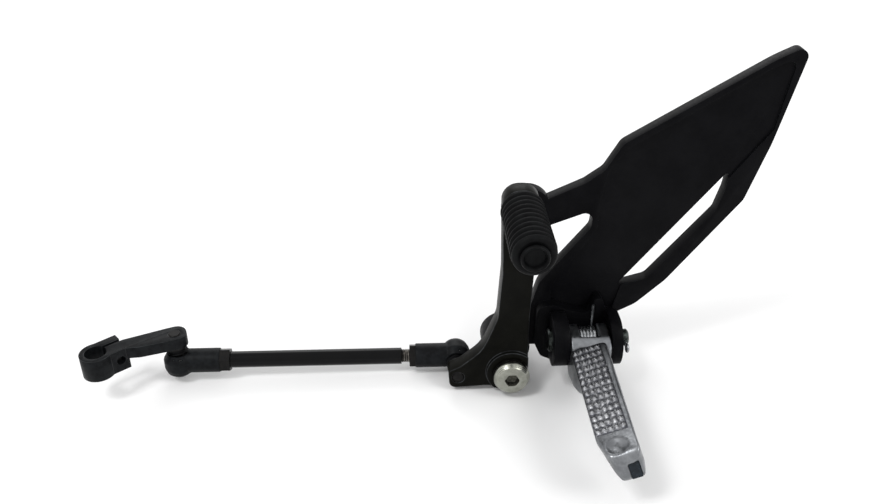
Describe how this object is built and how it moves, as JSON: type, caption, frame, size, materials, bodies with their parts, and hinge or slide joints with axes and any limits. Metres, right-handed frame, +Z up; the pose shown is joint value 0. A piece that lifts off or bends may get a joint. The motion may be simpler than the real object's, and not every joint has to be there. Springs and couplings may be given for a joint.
{
  "type": "motorcycle footpeg bracket",
  "caption": "Left footpeg on a cast bracket with a heel guard, a gear shift lever with a ribbed toe rubber, and a link rod with a ball joint at each end to a split clamp arm.",
  "frame": {"origin": "centre of the collar face that seats on the frame, on the shift lever's pivot axis", "axes": "X to the rear of the motorcycle, Z up, rider's side at -Y"},
  "size_m": [0.3192, 0.113, 0.1594],
  "materials": {
    "bracket": "satin",
    "pivot_bolt": "satin",
    "pivot_bush": "satin",
    "outer_washer": "satin",
    "inner_washer": "satin",
    "hinge_pin": "satin",
    "pin_washer": "satin",
    "split_pin": "satin",
    "shift_lever": "satin",
    "toe_peg": "satin",
    "toe_rubber": "matte",
    "toe_clip": "satin",
    "rear_stud": "satin",
    "rear_boot": "matte",
    "rear_rod_end": "satin",
    "rear_seat": "matte",
    "rear_lock_nut": "satin",
    "link_rod": "gloss",
    "front_lock_nut": "satin",
    "front_rod_end": "satin",
    "front_seat": "matte",
    "front_boot": "matte",
    "front_stud": "satin",
    "shift_arm": "satin",
    "footpeg": "satin",
    "tip_inset": "satin",
    "peg_spring": "satin"
  },
  "bodies": {
    "bracket": {"bracket": "bracket", "pivot_bolt": "pivot_bolt", "pivot_bush": "pivot_bush", "outer_washer": "outer_washer", "inner_washer": "inner_washer", "hinge_pin": "hinge_pin", "pin_washer": "pin_washer", "split_pin": "split_pin"},
    "lever": {"shift_lever": "shift_lever", "toe_peg": "toe_peg", "toe_rubber": "toe_rubber", "toe_clip": "toe_clip", "rear_stud": "rear_stud"},
    "rear_boot": {"rear_boot": "rear_boot"},
    "link_rod": {"rear_rod_end": "rear_rod_end", "rear_seat": "rear_seat", "rear_lock_nut": "rear_lock_nut", "link_rod": "link_rod", "front_lock_nut": "front_lock_nut", "front_rod_end": "front_rod_end", "front_seat": "front_seat"},
    "front_boot": {"front_boot": "front_boot"},
    "shift_arm": {"front_stud": "front_stud", "shift_arm": "shift_arm"},
    "footpeg": {"footpeg": "footpeg", "tip_inset": "tip_inset", "peg_spring": "peg_spring"}
  },
  "joints": [
    {"name": "lever_pivot", "type": "hinge", "parent": "bracket", "child": "lever", "pos_m": [0, -0.03, 0], "axis": [0, 1, 0], "range_deg": [-8, 8]},
    {"name": "rear_swing", "type": "hinge", "parent": "lever", "child": "rear_boot", "pos_m": [-0.0247, -0.0145, -0.0032], "axis": [0, 1, 0], "range_deg": [-30, 30]},
    {"name": "rear_tilt", "type": "hinge", "parent": "rear_boot", "child": "link_rod", "pos_m": [-0.0247, -0.0145, -0.0032], "axis": [0.9999, 0, -0.015], "range_deg": [-12, 12]},
    {"name": "front_tilt", "type": "hinge", "parent": "link_rod", "child": "front_boot", "pos_m": [-0.1581, -0.0145, -0.0012], "axis": [0.9999, 0, -0.015], "range_deg": [-12, 12]},
    {"name": "front_swing", "type": "hinge", "parent": "front_boot", "child": "shift_arm", "pos_m": [-0.1581, -0.0145, -0.0012], "axis": [0, 0, 1], "range_deg": [-60, 60]},
    {"name": "peg_fold", "type": "hinge", "parent": "bracket", "child": "footpeg", "pos_m": [0.036, -0.028, 0.014], "axis": [-1, 0, 0], "range_deg": [0, 75], "stiffness_Nm_per_rad": 0.5, "springref_deg": -28.65, "deforming": ["peg_spring"]}
  ]
}
